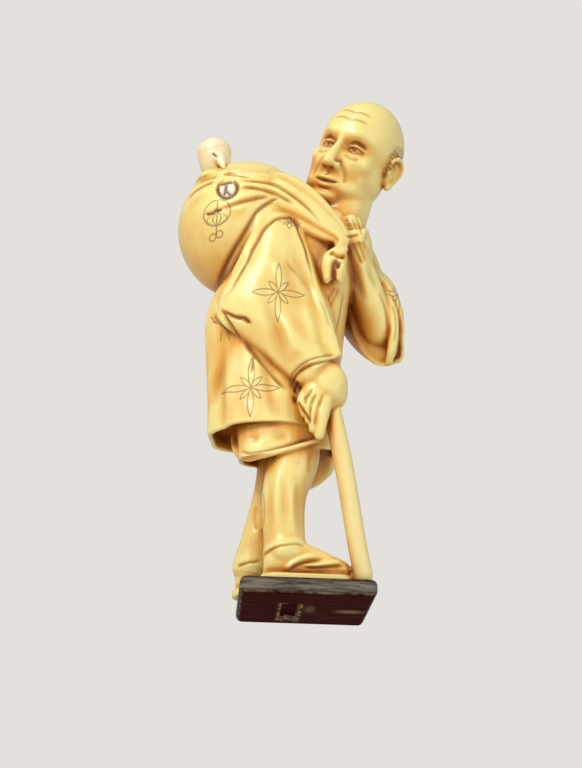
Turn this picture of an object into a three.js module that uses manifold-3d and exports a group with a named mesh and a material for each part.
// A carved ivory okimono: a bald old man, bent over a stick, with a bulging cloth sack on his back and a
// sparrow looking out of it, on a low lacquered wood plinth. Millimetres, +Z up, origin at the centre of
// the plinth's underside. The man walks towards +X, and the side that the viewer sees faces -Y.
import * as THREE from "three";
import { mergeVertices } from "three/addons/utils/BufferGeometryUtils.js";
import Module from "manifold-3d";

const wasm = await Module();
wasm.setup();

// Driving dimensions of the plinth
const plinthWidth = 34;
const plinthDepth = 36;
const plinthHeight = 4.4;
const plinthCornerRadius = 1.6;
const plinthBevel = 0.5;
const socketWidth = 4.4;
const socketLength = 19;
const socketDepth = 1.4;
const socketPlace = [-3.6, 3.6];
const seatGap = 0.3;

// Driving dimensions of the carving
const figureHeight = 142.5;
const stickDiameter = 4.9;
const sackDiameter = 38.8;
const headHeight = 34.4;
const clothThickness = 1.3;
const hemHollow = 7;
const cuffHollow = 4;
const soleThickness = 1.6;
const birdHeadDiameter = 8.9;
const birdGap = 0.3;

// The free form is drawn on a figure of this height, and every place and girth on it follows figureHeight
const drawnUnits = 142.5;
const share = figureHeight / drawnUnits;

const standHeight = plinthHeight + seatGap;

function vec(p) {
  return new THREE.Vector3(...p);
}

// A closed grid of rings, each an array of points, as one solid: the two ends are closed by fans
function solidFromRings(rings) {
  const sides = rings[0].length;
  const points = rings.flat();
  const ends = [rings[0], rings[rings.length - 1]].map((ring) =>
    ring.reduce((sum, p) => sum.add(p), new THREE.Vector3()).divideScalar(sides),
  );
  points.push(...ends);
  const faces = [];
  for (let r = 0; r + 1 < rings.length; r++) {
    for (let s = 0; s < sides; s++) {
      const a = r * sides + s;
      const b = r * sides + ((s + 1) % sides);
      faces.push(a, b, a + sides, b, b + sides, a + sides);
    }
  }
  const last = (rings.length - 1) * sides;
  for (let s = 0; s < sides; s++) {
    const next = (s + 1) % sides;
    faces.push(next, s, points.length - 2);
    faces.push(last + s, last + next, points.length - 1);
  }
  const geometry = new THREE.BufferGeometry().setFromPoints(points);
  geometry.setIndex(faces);
  return solidFromGeometry(geometry);
}

function solidFromGeometry(geometry) {
  const bare = geometry.clone();
  bare.deleteAttribute("normal");
  bare.deleteAttribute("uv");
  const merged = mergeVertices(bare, 1e-4);
  const build = (triVerts) =>
    new wasm.Manifold(
      new wasm.Mesh({ numProp: 3, vertProperties: merged.attributes.position.array, triVerts }),
    );
  const triVerts = new Uint32Array(merged.index.array);
  const solid = build(triVerts);
  if (solid.volume() > 0) return solid;
  for (let i = 0; i < triVerts.length; i += 3) {
    [triVerts[i + 1], triVerts[i + 2]] = [triVerts[i + 2], triVerts[i + 1]];
  }
  return build(triVerts);
}

function geometryFromSolid(solid) {
  const mesh = solid.getMesh();
  const geometry = new THREE.BufferGeometry();
  geometry.setAttribute("position", new THREE.BufferAttribute(mesh.vertProperties, 3));
  geometry.setIndex(new THREE.BufferAttribute(mesh.triVerts, 1));
  return geometry;
}

function join(...solids) {
  return solids.reduce((all, one) => all.add(one));
}

// Catmull-Rom blend of four like-shaped lists of numbers
function blend(a, b, c, d, t) {
  return b.map((_, i) => {
    const rise = (c[i] - a[i]) / 2;
    const fall = (d[i] - b[i]) / 2;
    const t2 = t * t;
    const t3 = t2 * t;
    return (
      b[i] * (2 * t3 - 3 * t2 + 1) +
      rise * (t3 - 2 * t2 + t) +
      c[i] * (3 * t2 - 2 * t3) +
      fall * (t3 - t2)
    );
  });
}

// Stations with extra ones blended in between, so that a few of them give a smooth form
function refine(stations, steps) {
  const at = (i) => stations[Math.min(Math.max(i, 0), stations.length - 1)];
  const made = [];
  for (let i = 0; i + 1 < stations.length; i++) {
    for (let k = 0; k < steps; k++) {
      made.push(blend(at(i - 1), at(i), at(i + 1), at(i + 2), k / steps));
    }
  }
  made.push(at(stations.length - 1));
  return made;
}

function powered(value, power) {
  return Math.sign(value) * Math.abs(value) ** (2 / power);
}

// A form through stations [centre xyz, half-width vector xyz, half-depth vector xyz, squareness].
// folds is a list of [angle in degrees, width in degrees, height at the first and the last station].
function loft(stations, { sides = 20, steps = 2, folds = [] } = {}) {
  const fine = refine(stations, steps);
  const rings = fine.map((s, row) => {
    const along = row / (fine.length - 1);
    const ring = [];
    for (let i = 0; i < sides; i++) {
      const degrees = (i / sides) * 360;
      const angle = THREE.MathUtils.degToRad(degrees);
      let reach = 1;
      for (const [centre, width, first, last] of folds) {
        const off = ((degrees - centre + 540) % 360) - 180;
        reach += (first + (last - first) * along) * Math.exp(-((off / width) ** 2));
      }
      const wide = powered(Math.cos(angle), s[9]) * reach;
      const deep = powered(Math.sin(angle), s[9]) * reach;
      ring.push(
        new THREE.Vector3(
          s[0] + s[3] * wide + s[6] * deep,
          s[1] + s[4] * wide + s[7] * deep,
          s[2] + s[5] * wide + s[8] * deep,
        ).multiplyScalar(share),
      );
    }
    return ring;
  });
  return solidFromRings(rings);
}

// A station whose section lies level: centre, half-width along X, half-depth along Y, rise towards +X and +Y
function level(centre, halfX, halfY, { riseX = 0, riseY = 0, power = 2.2 } = {}) {
  return [...centre, halfX, 0, riseX, 0, halfY, riseY, power];
}

// A round or oval limb through points [x, y, z, radius, flatness], its wide side along the hint
function limb(points, { sides = 10, steps = 2, hint = [1, 0, 0], domes = true } = {}) {
  const fine = refine(points, steps);
  const stations = fine.map((p, i) => {
    const before = fine[Math.max(i - 1, 0)];
    const after = fine[Math.min(i + 1, fine.length - 1)];
    const along = vec(after.slice(0, 3)).sub(vec(before.slice(0, 3))).normalize();
    const deep = along.clone().cross(vec(hint)).normalize();
    const wide = deep.clone().cross(along).normalize();
    wide.multiplyScalar(p[3]);
    deep.multiplyScalar(p[3] * (p[4] ?? 1));
    return { place: vec(p.slice(0, 3)), along, wide, deep, radius: p[3] * (p[4] ?? 1) };
  });
  const rows = [];
  const ringOf = (s, shrink, shift) => {
    const ring = [];
    for (let i = 0; i < sides; i++) {
      const angle = (i / sides) * Math.PI * 2;
      ring.push(
        s.place
          .clone()
          .addScaledVector(s.along, shift * s.radius)
          .addScaledVector(s.wide, Math.cos(angle) * shrink)
          .addScaledVector(s.deep, Math.sin(angle) * shrink)
          .multiplyScalar(share),
      );
    }
    return ring;
  };
  const domeRows = domes ? [0.78] : [];
  for (const lift of domeRows) rows.push(ringOf(stations[0], Math.sqrt(1 - lift * lift), -lift));
  for (const s of stations) rows.push(ringOf(s, 1, 0));
  for (const lift of domeRows.slice().reverse()) {
    rows.push(ringOf(stations[stations.length - 1], Math.sqrt(1 - lift * lift), lift));
  }
  return solidFromRings(rows);
}

function ellipsoid(centre, radii, { wide = 20, high = 14, turn = new THREE.Matrix4() } = {}) {
  const geometry = new THREE.SphereGeometry(1, wide, high);
  geometry.rotateX(Math.PI / 2);
  geometry.scale(...radii);
  geometry.applyMatrix4(turn);
  geometry.translate(...centre);
  geometry.scale(share, share, share);
  return solidFromGeometry(geometry);
}

// Everything above the level of the soles
function aboveSoles(solid) {
  const reach = figureHeight;
  const slab = new THREE.BoxGeometry(reach * 2, reach * 2, reach * 2);
  slab.translate(0, 0, reach);
  return solid.intersect(solidFromGeometry(slab));
}

// Legs in leggings, and feet in straw sandals
const nearLeg = limb(
  [
    [-4, -4.4, 42, 7.1],
    [-3.9, -5.8, 33.5, 6.7],
    [-6.1, -7, 23, 5.7],
    [-5.8, -7.6, 11.6, 5.3],
    [-5.4, -8, 8.2, 6],
  ],
  { sides: 14, domes: false },
);
const farLeg = limb(
  [
    [-6, 4, 42, 6.8],
    [-8.2, 5.5, 29, 5.2],
    [-12, 7.4, 14, 4.8],
    [-13.4, 8, 8.2, 5.2],
  ],
  { sides: 14, domes: false },
);

// A foot whose length runs along +X from its heel, drawn on a foot of length 1
function foot(heelX, y, length, halfWidth, instep) {
  const profile = [
    [0.0, 0.45, 0.28, 0.28],
    [0.08, 0.85, 0.45, 0.5],
    [0.3, 1.0, 0.55, 0.62],
    [0.52, 1.0, 0.48, 0.55],
    [0.75, 1.02, 0.33, 0.4],
    [0.93, 0.85, 0.22, 0.27],
    [1.0, 0.4, 0.14, 0.14],
  ];
  return loft(
    profile.map(([along, wide, high, half]) => [
      heelX + along * length, y, soleThickness + high * instep,
      0, halfWidth * wide, 0,
      0, 0, half * instep,
      2.3,
    ]),
    { sides: 10, steps: 1 },
  );
}

// A sandal's sole, a slab with round ends
function sandal(heelX, y, length, halfWidth) {
  const outline = new THREE.Shape();
  outline.absarc(heelX + halfWidth, y, halfWidth, Math.PI / 2, (Math.PI * 3) / 2);
  outline.absarc(heelX + length - halfWidth, y, halfWidth, -Math.PI / 2, Math.PI / 2);
  const geometry = new THREE.ExtrudeGeometry(outline, {
    depth: soleThickness, bevelEnabled: false, curveSegments: 5,
  });
  geometry.scale(share, share, share);
  return solidFromGeometry(geometry);
}

const footLength = 22.4;
const footHalfWidth = 4;
const sandalOverhang = 0.8;
function shod(heelX, y) {
  return join(
    foot(heelX, y, footLength, footHalfWidth, 8),
    sandal(
      heelX - sandalOverhang, y, footLength + 2 * sandalOverhang, footHalfWidth + sandalOverhang,
    ),
  );
}
const nearFoot = shod(-11, -9);
const farFoot = shod(-17.6, 8.4);

// The inner robe and the coat, each hollow at its hem
function hemmed(stations, options) {
  const outside = loft(stations, options);
  const first = stations[0];
  const wall = (vector) => {
    const length = Math.hypot(...vector);
    return vector.map((v) => v * (1 - clothThickness / length));
  };
  const inner = (s, lift) => [
    s[0], s[1], s[2] + lift, ...wall(s.slice(3, 6)), ...wall(s.slice(6, 9)), s[9],
  ];
  const hollow = loft(
    [inner(first, -2), inner(stations[1], hemHollow - (stations[1][2] - first[2]))],
    { ...options, steps: 1 },
  );
  return outside.subtract(hollow);
}

const innerRobe = join(
  hemmed(
    [
      [-5, -1, 35.5, 13, 3, 2.6, 0, 12, 1.5, 2.2],
      [-5.4, -0.6, 43, 13.6, 2, 1, 0, 12, 0.6, 2.2],
      [-7, 0, 52, 14.6, 0, 0, 0, 12, 0, 2.2],
    ],
    { sides: 20, folds: [[205, 14, 0.07, 0.02], [250, 16, -0.05, 0], [330, 14, 0.06, 0]] },
  ),
  loft(
    [
      [1, 9.6, 30.2, 3.4, -0.6, 1.6, 0, 1.2, 0, 2.4],
      [2, 8.4, 34.4, 6.2, -2, 1.4, 0, 2.2, 0, 2.4],
      [0, 6.6, 43, 7.4, -2.4, 0, 0, 3.8, 0, 2.4],
    ],
    { sides: 14 },
  ),
);
const coat = hemmed(
  [
    level([-10.2, 0, 40.8], 15.7, 14, { riseX: 0.3, riseY: -0.4 }),
    level([-9.8, 0, 52.6], 16.6, 13.6),
    level([-9.6, 0, 67], 18, 13.5),
    level([-8.9, 0, 76.5], 18.7, 13.8),
    level([-6.5, 0.3, 85.3], 17.3, 14.2),
    level([-1.5, 0.5, 95.3], 12.6, 14.6),
    level([2, 0, 102], 9.5, 12.6),
    level([4.5, 0, 107], 5.4, 7.4),
  ],
  {
    sides: 24,
    folds: [
      [188, 9, 0.05, 0], [215, 9, -0.05, 0], [150, 12, 0.06, 0], [120, 10, -0.05, 0], [75, 12, 0.05, 0],
    ],
  },
);

// The near sleeve fans out from the shoulder to a hanging corner, and is hollow at the cuff
const nearSleeveStations = [
  [-10.4, -9.4, 103.4, 3.4, 0, 0.3, 0, 3, 0, 2],
  [-10.3, -10.4, 99.6, 7.2, 0, 0.8, 0, 5.4, 0, 2],
  [-10, -11, 89.7, 9.8, 0, 1.8, 0, 6.3, 0, 2.1],
  [-10.8, -11.2, 76.2, 14.2, 0, 3.7, 0, 6.6, 0, 2.3],
  [-4, -12.6, 64.9, 10.2, 0, 4.3, 0, 5.8, 0, 2.3],
  [2.5, -13.9, 55.2, 5.7, 0, 4.4, 0, 5.2, 0, 2.2],
];
function shrunk(s, wall) {
  const across = Math.hypot(s[3], s[4], s[5]);
  const through = Math.hypot(s[6], s[7], s[8]);
  return s.map((v, i) => {
    if (i >= 3 && i < 6) return v * (1 - wall / across);
    if (i >= 6 && i < 9) return v * (1 - wall / through);
    return v;
  });
}
function shifted(s, along) {
  return s.map((v, i) => (i < 3 ? v + along[i] : v));
}
const nearSleeve = loft(nearSleeveStations, {
  sides: 20, folds: [[262, 14, 0, 0.12], [292, 10, 0, -0.1], [318, 10, 0, 0.1], [225, 16, 0, -0.06]],
});
const cuffMouth = nearSleeveStations[nearSleeveStations.length - 1];
const nearCuffHollow = loft(
  [
    shifted(shrunk(cuffMouth, clothThickness * 1.6), [-cuffHollow * 0.6, 0.4, cuffHollow * 0.8]),
    shifted(shrunk(cuffMouth, clothThickness), [1.2, -0.4, -1.9]),
  ],
  { sides: 22, steps: 1 },
);

// The near forearm and hand, laid over the head of the stick
const nearHand = join(
  limb([[1.4, -13.6, 60, 4.6, 0.8], [3.6, -14.6, 53, 5.7, 0.7], [4.6, -15, 48, 4.8, 0.6]], {
    sides: 12, hint: [1, 0, 0.3],
  }),
  ...[
    [[7, -15.4, 47.4], [5.6, -17, 42], [3.6, -16.6, 37.8], 1.5],
    [[4.8, -16, 47.6], [3, -17.2, 42.4], [2, -16.6, 38.6], 1.4],
    [[2.8, -16, 48.2], [1.2, -16.6, 44], [0.8, -16, 41], 1.35],
    [[0.8, -15.4, 49.6], [-0.6, -15.6, 46.4], [-0.6, -15, 44], 1.2],
    [[8.4, -13, 50], [9.4, -12, 46.4], [8.8, -11.8, 44], 1.5],
  ].map(([root, knuckle, tip, r]) =>
    limb([[...root, r * 1.15], [...knuckle, r], [...tip, r * 0.85]], { sides: 6, steps: 1 }),
  ),
);

const stick = limb(
  [
    [4.6, -14.2, 48],
    [8, -14.1, 33],
    [10.1, -13.6, 21.7],
    [12.3, -13.1, 9],
    [13.9, -12.6, -3],
  ].map((p) => [...p, stickDiameter / 2 / share]),
  { sides: 12 },
);

// The far arm is bent up to the throat, where its fist holds the sack's cloth
const farForearm = limb(
  [
    [19.8, 0.4, 73.4, 4.3],
    [16.4, -3, 81.6, 4.3],
    [13, -6, 89.8, 3.5],
    [11.8, -8, 94, 3.8],
  ],
  { sides: 12 },
);
const farFist = join(
  ellipsoid([11.3, -9.4, 97.2], [4.8, 4.2, 5], { wide: 10, high: 8 }),
  ...[0, 1, 2, 3].map((i) =>
    limb(
      [
        [13.6 - i * 1.5, -11.2 - i * 0.2, 100.2 - i * 0.3, 1.25],
        [12.2 - i * 1.6, -13.2, 99 - i * 0.2, 1.25],
        [11.4 - i * 1.5, -13, 96 + i * 0.1, 1.05],
      ],
      { sides: 6, steps: 1 },
    ),
  ),
);
const farSleeveStations = [
  [8, 6.6, 108.4, 5.2, 0, 0, 0, 5, 0, 2],
  [10.4, 7.8, 103, 8.1, 0, -1, 0, 7, 1, 2],
  [13.6, 8.6, 93, 9, 0, -1, 0, 7.4, 3, 2.1],
  [16.6, 5.6, 83.4, 9.2, -1, 1, 2.5, 4.4, -10.4, 2.2],
  [18.6, -1, 76.4, 7, -1, 1.6, 3.4, 1.4, -13, 2.2],
];
const farSleeve = loft(farSleeveStations, {
  sides: 20, folds: [[60, 12, 0, 0.08], [30, 10, 0, -0.06]],
});
const sleeveMouth = farSleeveStations[farSleeveStations.length - 1];
const farCuffHollow = loft(
  [
    shifted(shrunk(sleeveMouth, clothThickness * 2.4), [-0.4, cuffHollow * 1.4, 0.6]),
    shifted(shrunk(sleeveMouth, clothThickness), [0.4, -1.8, -0.6]),
  ],
  { sides: 22, steps: 1 },
);

// The sack, with the cloth that ties it over the shoulder and ends in a knot at the throat
const sackCentre = [-17.8, 2, 103.4];
const sackRadius = sackDiameter / 2 / share;
const drawnSackRadius = 19.4;
const sackGrowth = sackRadius / drawnSackRadius;

// A place on or near the sack moves out with it
function withSack(place) {
  return place.map((p, i) => sackCentre[i] + (p - sackCentre[i]) * sackGrowth);
}

const sack = ellipsoid(sackCentre, [sackRadius, sackRadius * 0.97, sackRadius * 1.02], {
  wide: 24, high: 16,
});
const clothAtBird = ellipsoid([-26.5, 0, 114.5], [7, 7, 6], { wide: 10, high: 7 });
const shoulderCloth = join(
  clothAtBird,
  loft(
    [
      [-27, -6, 106.4, -1.4, -2, 6.6, 1.4, 4.4, 1.6, 2.4],
      [-14, -9.6, 107.6, 2, 0.5, 8.4, -0.6, 5.4, 0, 2.4],
      [-4.8, -11.8, 104.2, 3.2, 0.4, 7, -0.4, 4, 0, 2.4],
      [3, -13.2, 98.2, 2.8, 0.6, 4.4, -0.4, 2.8, 0, 2.4],
      [8.2, -12.8, 94.4, 2.2, 0.6, 2.4, -0.2, 2, 0, 2.4],
    ],
    { sides: 16, folds: [[262, 12, 0.08, 0.22], [235, 8, -0.06, -0.2], [300, 9, -0.06, -0.18]] },
  ),
  loft(
    [
      [-19, 5, 110.6, 0, 0, 10, -2, 9, 0, 2.3],
      [-8, 4, 109.4, 2.6, 0, 10.6, -1, 9, 0, 2.3],
      [2, 3, 104.4, 3.6, 0, 8, -1, 9, 0, 2.3],
      [9, 0, 99, 3.6, 0, 5.6, -2.4, 8, 0, 2.3],
    ],
    { sides: 14 },
  ),
);
const knot = join(
  limb([[6.6, -15, 96.6, 2.5, 0.8], [4.2, -15.9, 90.6, 2.9, 0.55], [4.6, -15.2, 80.8, 1.7, 0.6]], {
    sides: 8,
  }),
  limb([[8, -15, 94.6, 2.3, 0.8], [8.2, -15.6, 88.6, 2, 0.6], [8.2, -15, 81.8, 1.2, 0.7]], { sides: 8 }),
);
const chest = loft(
  [
    level([2.4, -3, 74], 7.4, 9.4),
    level([3.2, -3.6, 84], 8, 10),
    level([4.4, -3.6, 94], 7, 9),
    level([5.4, -2.6, 101], 5.4, 7),
  ],
  { sides: 14, steps: 1 },
);

// Raised edges of cloth, as narrow rolls laid on the surface
function roll(points, radius) {
  return limb(points.map((p) => [...p, radius]), { sides: 5, steps: 1, domes: false });
}
const sleeveRim = roll(
  [
    [-4.6, -14.6, 100.6], [-8.8, -15, 102.2], [-13.4, -14.8, 98.8], [-17, -13.8, 92],
    [-20.6, -13.2, 83.6], [-23.6, -12.2, 76.6], [-24, -11.6, 73], [-19.4, -11.8, 65.4],
    [-13, -12.8, 58.2], [-6, -12.8, 51.4],
  ],
  clothThickness * 0.8,
);
const sackFolds = join(
  roll(
    [
      [-33.6, -5.4, 108], [-27.2, -12.4, 110.2], [-19, -15.6, 107.8], [-10.8, -15.6, 105.2],
      [-1.2, -16, 99.4], [5.8, -16.4, 93],
    ],
    clothThickness * 1.1,
  ),
  roll([[-26.6, -14, 100.2], [-12, -15.4, 104.2], [-2.4, -15.4, 97.8], [4, -16.6, 91.4]], clothThickness),
);

// The head turns to the near side and leans. Its own axes: side to its left ear, front, up
const headUp = vec([0.32, -0.31, 0.9]).normalize();
const headFront = vec([-0.5, -0.8, -0.2]).projectOnPlane(headUp).normalize();
const headSide = headFront.clone().cross(headUp).negate();
const headCentre = vec([12.6, -1.4, 126.2]);
const headTurn = new THREE.Matrix4().makeBasis(headSide, headFront.clone().negate(), headUp);
const half = headHeight / 2 / share;

function hump(value, centre, width) {
  return Math.exp(-(((value - centre) / width) ** 2));
}

// Depth of the face's carving at a place across and up the face, both as shares of half the head height
function faceRelief(across, up) {
  const side = Math.abs(across);
  const noseTip = 0.24 * hump(side, 0, 0.13) * hump(up, -0.36, 0.17);
  const noseBridge = 0.1 * hump(side, 0, 0.1) * hump(up, -0.08, 0.2);
  const wings = 0.07 * hump(side, 0.14, 0.08) * hump(up, -0.45, 0.08);
  const sockets = -0.1 * hump(side, 0.27, 0.15) * hump(up, 0.02, 0.12);
  const lids = 0.06 * hump(side, 0.27, 0.13) * hump(up, -0.02, 0.07);
  const brows = 0.06 * hump(side, 0.28, 0.2) * hump(up, 0.2, 0.08);
  const cheeks = 0.07 * hump(side, 0.4, 0.18) * hump(up, -0.3, 0.18);
  const lips = 0.07 * hump(side, 0, 0.24) * (hump(up, -0.59, 0.05) + hump(up, -0.72, 0.06));
  const chin = 0.1 * hump(side, 0, 0.24) * hump(up, -0.92, 0.14);
  return noseTip + noseBridge + wings + sockets + lids + brows + cheeks + lips + chin;
}

const frontCrowding = 0.5;
function headSolid() {
  const geometry = new THREE.SphereGeometry(1, 25, 19);
  geometry.rotateX(Math.PI / 2);
  const place = geometry.attributes.position;
  for (let i = 0; i < place.count; i++) {
    const up = place.getZ(i);
    const round = Math.hypot(place.getX(i), place.getY(i));
    const turned = Math.atan2(place.getX(i), place.getY(i));
    const turn = turned + frontCrowding * Math.sin(turned);
    const across = round * Math.sin(turn);
    const back = round * Math.cos(turn);
    const jaw = Math.min(0, up);
    const skull = Math.max(0, up);
    const x = across * 0.68 * (1 - 0.22 * jaw * jaw);
    const z = up;
    let y = back * 0.78 * (back > 0 ? 1 - 0.1 * jaw * jaw + 0.12 * skull : 1 + 0.04 * jaw * jaw);
    if (back < 0) y -= faceRelief(x, z) * Math.min(1, -back * 2.2);
    place.setXYZ(i, x * half, y * half, z * half);
  }
  geometry.applyMatrix4(headTurn);
  geometry.translate(...headCentre.toArray());
  geometry.scale(share, share, share);
  return solidFromGeometry(geometry);
}

function onHead(across, front, up) {
  return headCentre
    .clone()
    .addScaledVector(headSide, across * half)
    .addScaledVector(headFront, front * half)
    .addScaledVector(headUp, up * half);
}

function ear(sign) {
  const centre = onHead(sign * 0.68, -0.1, -0.1).toArray();
  const turn = headTurn.clone().multiply(
    new THREE.Matrix4().makeRotationZ(sign * 0.45),
  );
  const shell = ellipsoid(centre, [1.5, 2.7, 4.4], { wide: 10, high: 8, turn });
  const bowl = onHead(sign * 0.76, -0.02, -0.08).toArray();
  return shell.subtract(ellipsoid(bowl, [1, 1.5, 2.7], { wide: 8, high: 6, turn }));
}

const neck = limb([[3, 0.8, 98, 7.6], [8, 0.2, 106, 7.2], [10.8, -0.2, 114, 6.8]], { sides: 14, steps: 1 });

// The sparrow: a round head with a short beak, let into the top of the sack
function birdForm(grow) {
  const radius = birdHeadDiameter / 2 / share + grow;
  const grown = (points) => points.map(([x, y, z, r]) => [...withSack([x, y, z]), r + grow]);
  return join(
    ellipsoid(withSack([-27.9, -5, 124]), [radius, radius, radius], { wide: 14, high: 10 }),
    limb(grown([[-27.6, -4.4, 121.4, 3.8], [-26.4, -2.4, 115.4 - grow, 4.1]]), { sides: 12, steps: 1 }),
    limb(grown([[-27, -8, 123, 1.8], [-26.2, -9.8, 121.6, 1.2], [-25.4, -11.2, 120.4, 0.35]]), {
      sides: 8, steps: 1,
    }),
  );
}

// A round hole in the cloth below the bird
const peepHole = ellipsoid(withSack([-24, -17.2, 108]), [1.7, 2, 1.5], { wide: 10, high: 7 });

const figureSolid = aboveSoles(
  join(
    join(innerRobe, nearLeg, farLeg, nearFoot, farFoot),
    coat,
    chest,
    join(farSleeve, neck).subtract(farCuffHollow),
    nearSleeve.subtract(nearCuffHollow),
    sack.subtract(peepHole),
    shoulderCloth,
    knot,
    join(sleeveRim, sackFolds),
    farForearm,
    farFist,
    nearHand,
    stick,
    headSolid(),
    ear(1),
    ear(-1),
  ),
);

function plinthSolid() {
  const inset = plinthBevel;
  const x = plinthWidth / 2 - inset;
  const y = plinthDepth / 2 - inset;
  const r = Math.max(plinthCornerRadius - inset, 0.2);
  const outline = new THREE.Shape();
  outline.absarc(x - r, y - r, r, 0, Math.PI / 2);
  outline.absarc(r - x, y - r, r, Math.PI / 2, Math.PI);
  outline.absarc(r - x, r - y, r, Math.PI, (Math.PI * 3) / 2);
  outline.absarc(x - r, r - y, r, (Math.PI * 3) / 2, Math.PI * 2);
  const geometry = new THREE.ExtrudeGeometry(outline, {
    depth: plinthHeight - 2 * inset,
    bevelThickness: inset,
    bevelSize: inset,
    bevelSegments: 1,
    curveSegments: 4,
  });
  geometry.translate(0, 0, inset);
  const socket = new THREE.BoxGeometry(socketWidth, socketLength, socketDepth * 2);
  socket.translate(...socketPlace, 0);
  return solidFromGeometry(geometry).subtract(solidFromGeometry(socket));
}

const ivory = new THREE.MeshStandardMaterial({ color: 0xe3bf72, roughness: 0.38, metalness: 0 });
const paleIvory = new THREE.MeshStandardMaterial({ color: 0xf0e2bd, roughness: 0.4, metalness: 0 });
const lacqueredWood = new THREE.MeshStandardMaterial({ color: 0x2a1512, roughness: 0.3, metalness: 0 });

function named(name, solid, material, lift) {
  const mesh = new THREE.Mesh(geometryFromSolid(solid), material);
  mesh.name = name;
  mesh.position.z = lift;
  return mesh;
}

const okimono = new THREE.Group();
okimono.add(named("plinth", plinthSolid(), lacqueredWood, 0));
okimono.add(named("figure", figureSolid.subtract(birdForm(birdGap / share)), ivory, standHeight));
okimono.add(named("sparrow", birdForm(0), paleIvory, standHeight));

export default okimono;
